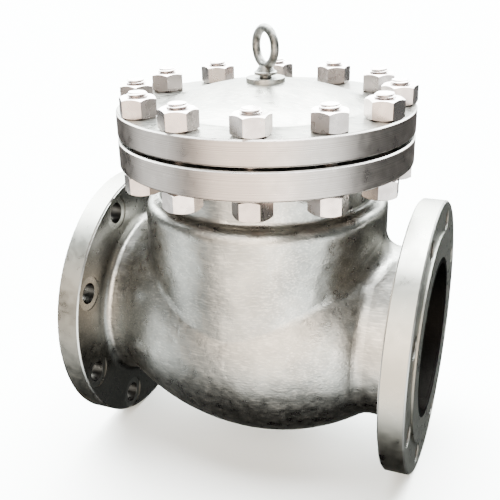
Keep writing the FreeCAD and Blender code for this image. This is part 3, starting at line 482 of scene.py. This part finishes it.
# %% Bolt holes and flange backs
def drilled_mask(material, point):
    """A mask for the walls of the bolt holes in the end flanges."""
    ring_half_width = 12 * MM
    wall_start = 3 * MM
    wall_end = end_flange_thickness - 1.3 * MM
    in_bolt_ring = band(
        material, point["around_pipe"],
        bolt_circle_radius - ring_half_width, bolt_circle_radius + ring_half_width,
    )
    in_flange = any_of(
        material,
        band(material, point["x"], wall_start, wall_end),
        band(material, point["x"], face_to_face - wall_end, face_to_face - wall_start),
    )
    return all_of(material, in_bolt_ring, in_flange)


def flange_back_shade_mask(material, point):
    """A mask for the backs of the end flanges, where the paint is darkened as painted shade."""
    shade_start = end_flange_thickness - 1.2 * MM
    shade_end = end_flange_thickness + 5 * MM
    fading = 1 * MM
    inside_rim = band(material, point["around_pipe"], -FAR, flange_radius - rim_bevel)
    at_backs = any_of(
        material,
        band(material, point["x"], shade_start, shade_end, fading),
        band(material, point["x"], face_to_face - shade_end, face_to_face - shade_start, fading),
    )
    return all_of(material, inside_rim, at_backs)


# %% [markdown]
# The waterway has no box of its own, so its mask is built from the shapes that cut it: the pipe
# bore, the chimney's hollow, the mouth in the body flange, and the hollow of the belly. The
# belly's wall is the same arc as its outside, a wall's thickness further in, and each half has
# its arc. So the middle of the wall is where inside ends.

# %% The waterway's mask
chimney_mid_wall = 118 * MM
chimney_hollow_top = 133 * MM
mouth_radius = 97 * MM
belly_mid_wall = 121 * MM
belly_start = 45 * MM
# how far below the pipe's axis the arc of each half of the belly is centred
upstream_arc_drop = 118 * MM
downstream_arc_drop = 83 * MM


def waterway_mask(material, point):
    """A mask for everything inside the casting."""
    parts = [
        band(material, point["around_pipe"], -FAR, (bore_radius + neck_radius) / 2),
        all_of(
            material,
            band(material, point["around_chimney"], -FAR, chimney_mid_wall),
            band(material, point["z"], 0.0, chimney_hollow_top),
        ),
        all_of(
            material,
            band(material, point["around_chimney"], -FAR, mouth_radius),
            band(material, point["z"], 0.0, FAR),
        ),
    ]
    along = add_node(material, "Math", {0: point["x"], 1: chimney_x}, operation="SUBTRACT")
    for drop, low, high in (
        (upstream_arc_drop, belly_start, chimney_x),
        (downstream_arc_drop, chimney_x, face_to_face - belly_start),
    ):
        outward = add_node(material, "Math", {0: point["around_pipe"], 1: drop}, operation="ADD")
        corner = add_node(material, "CombineXYZ", {0: along, 1: outward})
        reach = add_node(material, "VectorMath", {0: corner}, operation="LENGTH")
        parts.append(all_of(
            material,
            band(material, reach.outputs["Value"], -FAR, drop + belly_mid_wall),
            band(material, point["x"], low, high),
        ))
    return any_of(material, *parts)


# %% Masks of the two castings
def body_masks(material, point):
    """Where the body is turned and drilled, and where painted shade darkens its flange backs and
    bare inside.
    """
    return {
        "end_rim": end_rim_mask(material, point),
        "cover_rim": cover_rim_mask(material, point),
        "front_face": front_face_mask(material, point),
        "drilled": drilled_mask(material, point),
        "flange_back_shade": flange_back_shade_mask(material, point),
        "inside": waterway_mask(material, point),
    }


def cover_masks(material, point):
    """Where the cover is turned, and its bare inside, which painted shade darkens. It has no pipe
    flanges, so their masks are 0.
    """
    no_pipe_flanges = dict.fromkeys(("end_rim", "front_face", "drilled", "flange_back_shade"), 0.0)
    return {
        **no_pipe_flanges,
        "cover_rim": cover_rim_mask(material, point),
        "inside": band(material, point["z"], -FAR, gasket_top),
    }


# %% [markdown]
# ## Relief of the castings
# The cast skin ends where a tool cut: a rim shows fine rings, and a front face has round
# grooves that grip the gasket. Real rings would be thousands of faces, and they catch the light
# in the same way when only the surface's tilt is changed. So they are a bump: a noise that
# changes only across the rings, and a wave of the distance from the pipe's axis. A tool feeds
# about 0.2 mm a turn, too fine to show, so the rings and grooves are drawn 0.8 mm apart.

# %% Relief
ring_spacing = 0.8 * MM
end_ring_depth = 0.025 * MM
cover_ring_depth = 0.06 * MM
groove_depth = 0.02 * MM


def casting_relief(material, point, masks):
    """The bump of a casting, and the dimples, strokes and rings that its colour follows."""
    skin, dimples, strokes = cast_skin(material, point["place"])
    cut = any_of(
        material, masks["end_rim"], masks["cover_rim"], masks["front_face"], masks["drilled"]
    )
    uncut = add_node(material, "Math", {0: 1.0, 1: cut}, operation="SUBTRACT")
    across_rings = add_node(material, "CombineXYZ", {
        0: all_of(material, point["x"], masks["end_rim"]),
        2: all_of(material, point["z"], masks["cover_rim"]),
    })
    rings = add_node(material, "TexNoise", {
        "Vector": across_rings, "Scale": 1 / ring_spacing, "Detail": 2.0,
    })
    phase = add_node(material, "Math", {
        0: point["around_pipe"], 1: 2 * math.pi / ring_spacing,
    }, operation="MULTIPLY")
    grooves = add_node(material, "Math", {0: phase}, operation="SINE")
    surface = weighed(
        material,
        (all_of(material, skin, uncut), 1.0),
        (all_of(material, rings, masks["end_rim"]), end_ring_depth),
        (all_of(material, rings, masks["cover_rim"]), cover_ring_depth),
        (all_of(material, grooves, masks["front_face"]), groove_depth),
    )
    bump = add_node(material, "Bump", {"Height": surface, "Distance": 1.0, "Strength": 1.0})
    return bump, dimples, strokes, rings


# %% [markdown]
# ## Colour of the castings
# Aluminium paint is small leaves of metal in varnish, so it shines like rough metal, a little
# warm, and drifts between two greys where it went on thicker. Over it lie marks of the shop and
# painted light, each as a colour where its mask is 1, the last on top: painted shade at the
# flanges' backs, smoother paint on the rims, bevels lightened by wear and a painted highlight,
# bolt holes darkened as painted shade, and the oiled waterway, nearly black with painted shade.

# %% Colour
fine_bevel = 0.3 * MM


def bevel_mask(material, point, masks):
    """A mask for the bevels at the rims' edges, a hair inside their full radius."""
    inside_end_rim = band(material, point["around_pipe"], -FAR, flange_radius - fine_bevel)
    inside_cover_rim = band(material, point["around_chimney"], -FAR, cover_radius - fine_bevel)
    return any_of(
        material,
        all_of(material, masks["end_rim"], inside_end_rim),
        all_of(material, masks["cover_rim"], inside_cover_rim),
    )


def casting_colour(material, point, masks, cloud, strokes, rings):
    """The colour of a painted casting, with its marks of use laid over the paint."""
    shade = add_node(material, "ValToRGB", {"Fac": cloud})
    shade.color_ramp.elements[0].position = 0.3
    shade.color_ramp.elements[0].color = linear("#868582")
    shade.color_ramp.elements[1].position = 0.7
    shade.color_ramp.elements[1].color = linear("#A9A7A2")
    streaks = add_node(material, "ValToRGB", {"Fac": rings})
    streaks.color_ramp.elements[0].position = 0.3
    streaks.color_ramp.elements[0].color = linear("#8C8480")
    streaks.color_ramp.elements[1].position = 0.65
    streaks.color_ramp.elements[1].color = linear("#B3A9A4")
    rubbed = add_node(material, "MapRange", {
        "Value": strokes, "From Min": 0.5, "From Max": 0.68, "To Max": 0.35,
    })
    bevels = bevel_mask(material, point, masks)
    colour = shade
    for mask, laid_over in (
        (rubbed, linear("#D2CDC4")),  # grinder strokes
        # painted shade: the backs of the end flanges and the foot of each neck, darkened where
        # shade falls
        (all_of(material, masks["flange_back_shade"], 0.75), linear("#4E4D4A")),
        (any_of(material, masks["end_rim"], masks["front_face"]), linear("#9B9A94")),
        (masks["cover_rim"], streaks),
        # wear and a painted highlight: the rims' bevels lightened as if they caught the light
        (all_of(material, bevels, 0.7), linear("#D6D3D0")),
        # painted shade: the walls of the bolt holes darkened where shade falls inside them
        (masks["drilled"], linear("#5B5855")),
        # dark oil and painted shade: the waterway made nearly black, as dark as its unlit hollow
        (masks["inside"], linear("#100F0E")),
    ):
        colour = add_node(material, "Mix", {
            "Factor": mask, COLOUR_A: colour, COLOUR_B: laid_over,
        }, data_type="RGBA").outputs[MIXED_COLOUR]
    return colour


# %% Painted castings
paint_cloud_width = 42 * MM


def painted_casting(name, find_masks):
    """Aluminium paint on sand-cast steel, with turned rims, grooved faces, painted highlights and
    shade, and a bare inside.
    """
    material = new_material(name)
    point = locate(material)
    masks = find_masks(material, point)
    bump, dimples, strokes, rings = casting_relief(material, point, masks)
    cloud = add_node(material, "TexNoise", {
        "Vector": point["place"], "Scale": 1 / paint_cloud_width, "Detail": 3.0,
    })
    gloss = add_node(material, "MapRange", {
        "Value": dimples, "From Min": 0.3, "From Max": 0.7, "To Min": 0.32, "To Max": 0.44,
    })
    paint = add_node(material, "BsdfPrincipled", {
        "Base Color": casting_colour(material, point, masks, cloud, strokes, rings),
        "Metallic": 1.0,
        "Roughness": weighed(material, (gloss, 1.0), (cloud, -0.12), (masks["inside"], 0.25)),
        "Specular Tint": linear("#A4A4A4"),
        "Normal": bump,
    })
    add_node(material, "OutputMaterial", {"Surface": paint})
    return material


def wear(node, material):
    """Give a CAD node its finish."""
    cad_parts[node].material_slots[0].material = material


# both castings: a pale warm grey with a soft shine that breaks up over the lumps
wear("body", painted_casting("aluminium_paint_on_cast_body", body_masks))
wear("cover", painted_casting("aluminium_paint_on_cast_cover", cover_masks))
print("materials so far:", len(bpy.data.materials))

# %% [markdown]
# ## Threads on the studs
# A drawing shows a stud as a plain rod, but a real one is threaded from end to end, and its tip
# stands out of the nut. A bump would leave the tip's outline straight, and it is the outline
# that one sees against the pale floor. So the thread is a shape: one ridge wound round a core.
# The core is a cone with equal ends, and the ridge is a small four-cornered face that is spun
# upward round the axis. Where the ridge runs past the tip, its points are pulled back to the
# chamfer.

# %% Sizes of a stud
studs_low, studs_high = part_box("cover_studs")
stud_length = studs_high.z - studs_low.z
stud_radius = 9.525 * MM
thread_pitch = 2.54 * MM
thread_depth = 1.45 * MM
core_radius = stud_radius - thread_depth
ridge_foot_radius = core_radius - 0.2 * MM
ridge_foot_half_width = 0.46 * thread_pitch
ridge_crest_half_width = 0.07 * thread_pitch
tip_chamfer = 1.5 * MM
core_chamfer = 0.4 * MM
steps_per_turn = 24
print("stud", round(stud_length / MM, 1), "mm long,", round(stud_length / thread_pitch, 1), "turns")


# %% One threaded stud
def threaded_stud():
    """A stud on the Z axis, from the lowest to the highest point of the CAD studs."""
    stud = bmesh.new()
    bmesh.ops.create_cone(
        stud, cap_ends=True, segments=steps_per_turn,
        radius1=core_radius, radius2=core_radius, depth=stud_length,
    )
    bmesh.ops.translate(stud, verts=stud.verts, vec=(0, 0, studs_low.z + stud_length / 2))
    rims = [edge for edge in stud.edges if edge.verts[0].co.z == edge.verts[1].co.z]
    bmesh.ops.bevel(
        stud, geom=rims, affect="EDGES", offset=core_chamfer, segments=2, profile=0.5, material=-1
    )
    corners = [
        stud.verts.new((radius, 0, studs_low.z + rise))
        for radius, rise in (
            (ridge_foot_radius, -ridge_foot_half_width),
            (stud_radius, -ridge_crest_half_width),
            (stud_radius, ridge_crest_half_width),
            (ridge_foot_radius, ridge_foot_half_width),
        )
    ]
    profile = stud.faces.new(corners)
    turns = stud_length / thread_pitch
    steps = round(turns * steps_per_turn)
    bmesh.ops.spin(
        stud, geom=[profile, *profile.edges, *corners], axis=(0, 0, 1), cent=(0, 0, 0),
        dvec=(0, 0, stud_length / steps), angle=turns * 2 * math.pi, steps=steps, use_merge=False,
    )
    for vert in stud.verts:
        vert.co.z = min(max(vert.co.z, studs_low.z), studs_high.z)
        to_tip = min(vert.co.z - studs_low.z, studs_high.z - vert.co.z)
        limit = stud_radius - max(tip_chamfer - to_tip, 0)
        radius = math.hypot(vert.co.x, vert.co.y)
        if radius > limit:
            vert.co.x *= limit / radius
            vert.co.y *= limit / radius
    bmesh.ops.recalc_face_normals(stud, faces=stud.faces)
    return stud


# %% Twelve studs on their circle
stud_count = 12
stud_circle_radius = 129.75 * MM
first_stud_turn = math.radians(15)
own_turn_share = 5  # each stud is screwed in by another amount, so no two threads start alike

studs_shape = threaded_stud()
print("one stud has", len(studs_shape.faces), "faces")
first_stud = [*studs_shape.verts, *studs_shape.edges, *studs_shape.faces]
for index in range(stud_count):
    # every stud is a copy of the first, and the first itself is moved last
    geometry = first_stud
    if index < stud_count - 1:
        geometry = bmesh.ops.duplicate(studs_shape, geom=first_stud)["geom"]
    verts = [part for part in geometry if isinstance(part, bmesh.types.BMVert)]
    turn = first_stud_turn + index * 2 * math.pi / stud_count
    own_turn = Matrix.Rotation(turn * own_turn_share, 3, "Z")
    bmesh.ops.rotate(studs_shape, verts=verts, cent=(0, 0, 0), matrix=own_turn)
    bmesh.ops.translate(studs_shape, verts=verts, vec=(
        chimney_x + stud_circle_radius * math.cos(turn), stud_circle_radius * math.sin(turn), 0,
    ))

studs_mesh = bpy.data.meshes.new("threaded_studs")
studs_shape.to_mesh(studs_mesh)
studs_shape.free()
studs = bpy.data.objects.new("threaded_studs", studs_mesh)
bpy.context.scene.collection.objects.link(studs)
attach(studs, "valve")
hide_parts("cover_studs")
print("studs:", len(studs_mesh.polygons), "faces")

# %% [markdown]
# ## Small metal parts
# Each part gets the marks of how it was made. A plated nut is smooth with a faint frost, a
# forged eye is lumpy with dark scale left in its hollows, and a cast arm has the sand's skin
# under its oil. Each could have a material of its own, but they differ only in shades, gloss
# and sizes. So one function lays lumps and a grain over a metal, and takes their real widths
# and depths.

# %% Mottled metal
def mottled_metal(name, dark, light, rough, lumps_mm, grain_mm):
    """A metal that drifts between two shades, with lumps and a grain, each (width, depth)."""
    lump_width, lump_depth = (size * MM for size in lumps_mm)
    grain_width, grain_depth = (size * MM for size in grain_mm)
    material = new_material(name)
    place = add_node(material, "TexCoord").outputs["Object"]
    lumps = add_node(material, "TexNoise", {
        "Vector": place, "Scale": 1 / lump_width, "Detail": 3.0,
    })
    grain = add_node(material, "TexNoise", {
        "Vector": place, "Scale": 1 / grain_width, "Detail": 2.0,
    })
    surface = weighed(material, (lumps, lump_depth), (grain, grain_depth))
    bump = add_node(material, "Bump", {"Height": surface, "Distance": 1.0, "Strength": 1.0})
    shade = add_node(material, "ValToRGB", {"Fac": lumps})
    shade.color_ramp.elements[0].position = 0.35
    shade.color_ramp.elements[0].color = linear(dark)
    shade.color_ramp.elements[1].position = 0.65
    shade.color_ramp.elements[1].color = linear(light)
    # hollows stay a little duller than the tops
    gloss = add_node(material, "MapRange", {
        "Value": lumps, "From Min": 0.3, "From Max": 0.7,
        "To Min": rough + 0.08, "To Max": rough - 0.05,
    })
    metal = add_node(material, "BsdfPrincipled", {
        "Base Color": shade, "Metallic": 1.0, "Roughness": gloss, "Normal": bump,
    })
    add_node(material, "OutputMaterial", {"Surface": metal})
    return material


# %% Plated, forged, blackened, bronze and oiled
# bright zinc over ground steel: pinkish white, soft gloss, hardly any relief. The frost of zinc is
# finer than the render shows, so it is drawn 0.8 mm wide
zinc_plated_steel = mottled_metal(
    "zinc_plated_steel", "#B0A6A3", "#BFB5B1", 0.27, lumps_mm=(9, 0.04), grain_mm=(0.8, 0.012)
)
# hammered hot and left with its scale: dull grey, lumpy, darker in the hollows
drop_forged_steel = mottled_metal(
    "drop_forged_steel", "#4B4A47", "#83817D", 0.40, lumps_mm=(6, 0.5), grain_mm=(1.2, 0.08)
)
# dipped in hot oil: nearly black, with a soft sheen
blackened_steel = mottled_metal(
    "blackened_steel", "#2A2A2B", "#3E3D3C", 0.38, lumps_mm=(5, 0.03), grain_mm=(0.8, 0.01)
)
# turned bronze: yellow-brown, and smooth where the pin rubs
bearing_bronze = mottled_metal(
    "bearing_bronze", "#8F6B3C", "#BC965A", 0.28, lumps_mm=(4, 0.02), grain_mm=(0.6, 0.008)
)
# a casting left bare and kept in oil: dark brown-grey with a wet gloss
oiled_cast_steel = mottled_metal(
    "oiled_cast_steel", "#57524C", "#69635B", 0.40, lumps_mm=(16, 0.3), grain_mm=(1.4, 0.05)
)
for nodes, finish in (
    (("cover_nuts_top", "cover_nuts_bottom"), zinc_plated_steel),
    (("eye_bolt",), drop_forged_steel),
    (("bracket_bolts", "bracket_lock_washers"), blackened_steel),
    (("hinge_bushes",), bearing_bronze),
    (("hinge_bracket", "hinge_arm", "disc"), oiled_cast_steel),
):
    for node in nodes:
        wear(node, finish)
studs_mesh.materials.append(zinc_plated_steel)
print("materials so far:", len(bpy.data.materials))

# %% [markdown]
# ## Turned stainless steel
# The seat ring and the disc's fittings were turned from stainless bar, and the hinge pin and
# what holds it were drawn bright. The tool leaves circles about a part's own axis, and the
# seat's leans back by five degrees. A ready-made wave texture draws its rings about X, Y or Z
# through the origin. So the circles are a wave of the distance from the tilted line. They are
# drawn half a millimetre apart, coarser than a real tool's, so that they show.

# %% Circles of the lathe
seat_lean = math.radians(5)
seat_x = 106 * MM
circle_spacing = 0.5 * MM
circle_depth = 0.006 * MM
haze_width, haze_depth = 5 * MM, 0.02 * MM


def turned_steel(name, centre, lean):
    """Stainless steel with the circles of the lathe about an axis that leans up from X."""
    material = new_material(name)
    place = add_node(material, "TexCoord").outputs["Object"]
    from_centre = add_node(material, "VectorMath", {0: place, 1: centre}, operation="SUBTRACT")
    upright = add_node(material, "VectorRotate", {
        "Vector": from_centre, "Angle": lean,
    }, rotation_type="Y_AXIS")
    radius = distance_from_axis(material, upright.outputs[0], "X", (0, 0, 0))
    phase = add_node(material, "Math", {
        0: radius, 1: 2 * math.pi / circle_spacing,
    }, operation="MULTIPLY")
    circles = add_node(material, "Math", {0: phase}, operation="SINE")
    haze = add_node(material, "TexNoise", {
        "Vector": place, "Scale": 1 / haze_width, "Detail": 3.0,
    })
    surface = weighed(material, (circles, circle_depth), (haze, haze_depth))
    bump = add_node(material, "Bump", {"Height": surface, "Distance": 1.0, "Strength": 1.0})
    gloss = add_node(material, "MapRange", {"Value": haze, "To Min": 0.18, "To Max": 0.36})
    metal = add_node(material, "BsdfPrincipled", {
        "Base Color": linear("#B4B2AC"), "Metallic": 1.0, "Roughness": gloss, "Normal": bump,
    })
    add_node(material, "OutputMaterial", {"Surface": metal})
    return material


# %% Seat, disc fittings and hinge pin
# turned bar: bright, slightly yellow, with a fan of light over its circles
turned_trim = turned_steel("turned_stainless_steel", (seat_x, 0, 0), seat_lean)
for node in ("seat_ring", "disc_washer", "disc_nut", "disc_split_pin"):
    wear(node, turned_trim)
# drawn bar: the same steel, with its circles about the pin's middle
pin_low, pin_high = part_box("hinge_pin")
pin_centre = tuple((pin_low + pin_high) / 2)
bright_steel = turned_steel("bright_drawn_stainless_steel", pin_centre, 0.0)
for node in ("hinge_pin", "hinge_pin_washers", "hinge_pin_split_pins"):
    wear(node, bright_steel)
print("hinge pin centre", [round(value / MM, 2) for value in pin_centre])

# %% [markdown]
# ## The gasket
# The gasket is a spiral of thin steel strip with graphite between its turns. Only its edge
# shows in the gap, black and dull with a trace of metal. Its flat faces lie hidden between the
# flanges until the cover is lifted off. A real spiral would be many thin faces for so little of
# it. So the turns are a wave of the distance from the chimney's axis, 1.2 mm apart, which is
# coarser than real strip, and wide enough to show.

# %% Spiral-wound gasket
strip_spacing = 1.2 * MM
strip_depth = 0.03 * MM
flake_width, flake_depth = 1.5 * MM, 0.05 * MM

wound_graphite = new_material("spiral_wound_graphite")
gasket_place = add_node(wound_graphite, "TexCoord").outputs["Object"]
winding = distance_from_axis(wound_graphite, gasket_place, "Z", (chimney_x, 0, 0))
strip_phase = add_node(wound_graphite, "Math", {
    0: winding, 1: 2 * math.pi / strip_spacing,
}, operation="MULTIPLY")
strip = add_node(wound_graphite, "Math", {0: strip_phase}, operation="SINE")
flakes = add_node(wound_graphite, "TexNoise", {
    "Vector": gasket_place, "Scale": 1 / flake_width, "Detail": 3.0,
})
gasket_surface = weighed(wound_graphite, (strip, strip_depth), (flakes, flake_depth))
gasket_bump = add_node(wound_graphite, "Bump", {
    "Height": gasket_surface, "Distance": 1.0, "Strength": 1.0,
})
gasket_shade = add_node(wound_graphite, "ValToRGB", {"Fac": flakes})
gasket_shade.color_ramp.elements[0].color = linear("#141416")
gasket_shade.color_ramp.elements[1].color = linear("#303033")
graphite = add_node(wound_graphite, "BsdfPrincipled", {
    "Base Color": gasket_shade, "Metallic": 0.2, "Roughness": 0.7, "Normal": gasket_bump,
})
add_node(wound_graphite, "OutputMaterial", {"Surface": graphite})
wear("cover_gasket", wound_graphite)
print("materials in all:", len(bpy.data.materials))
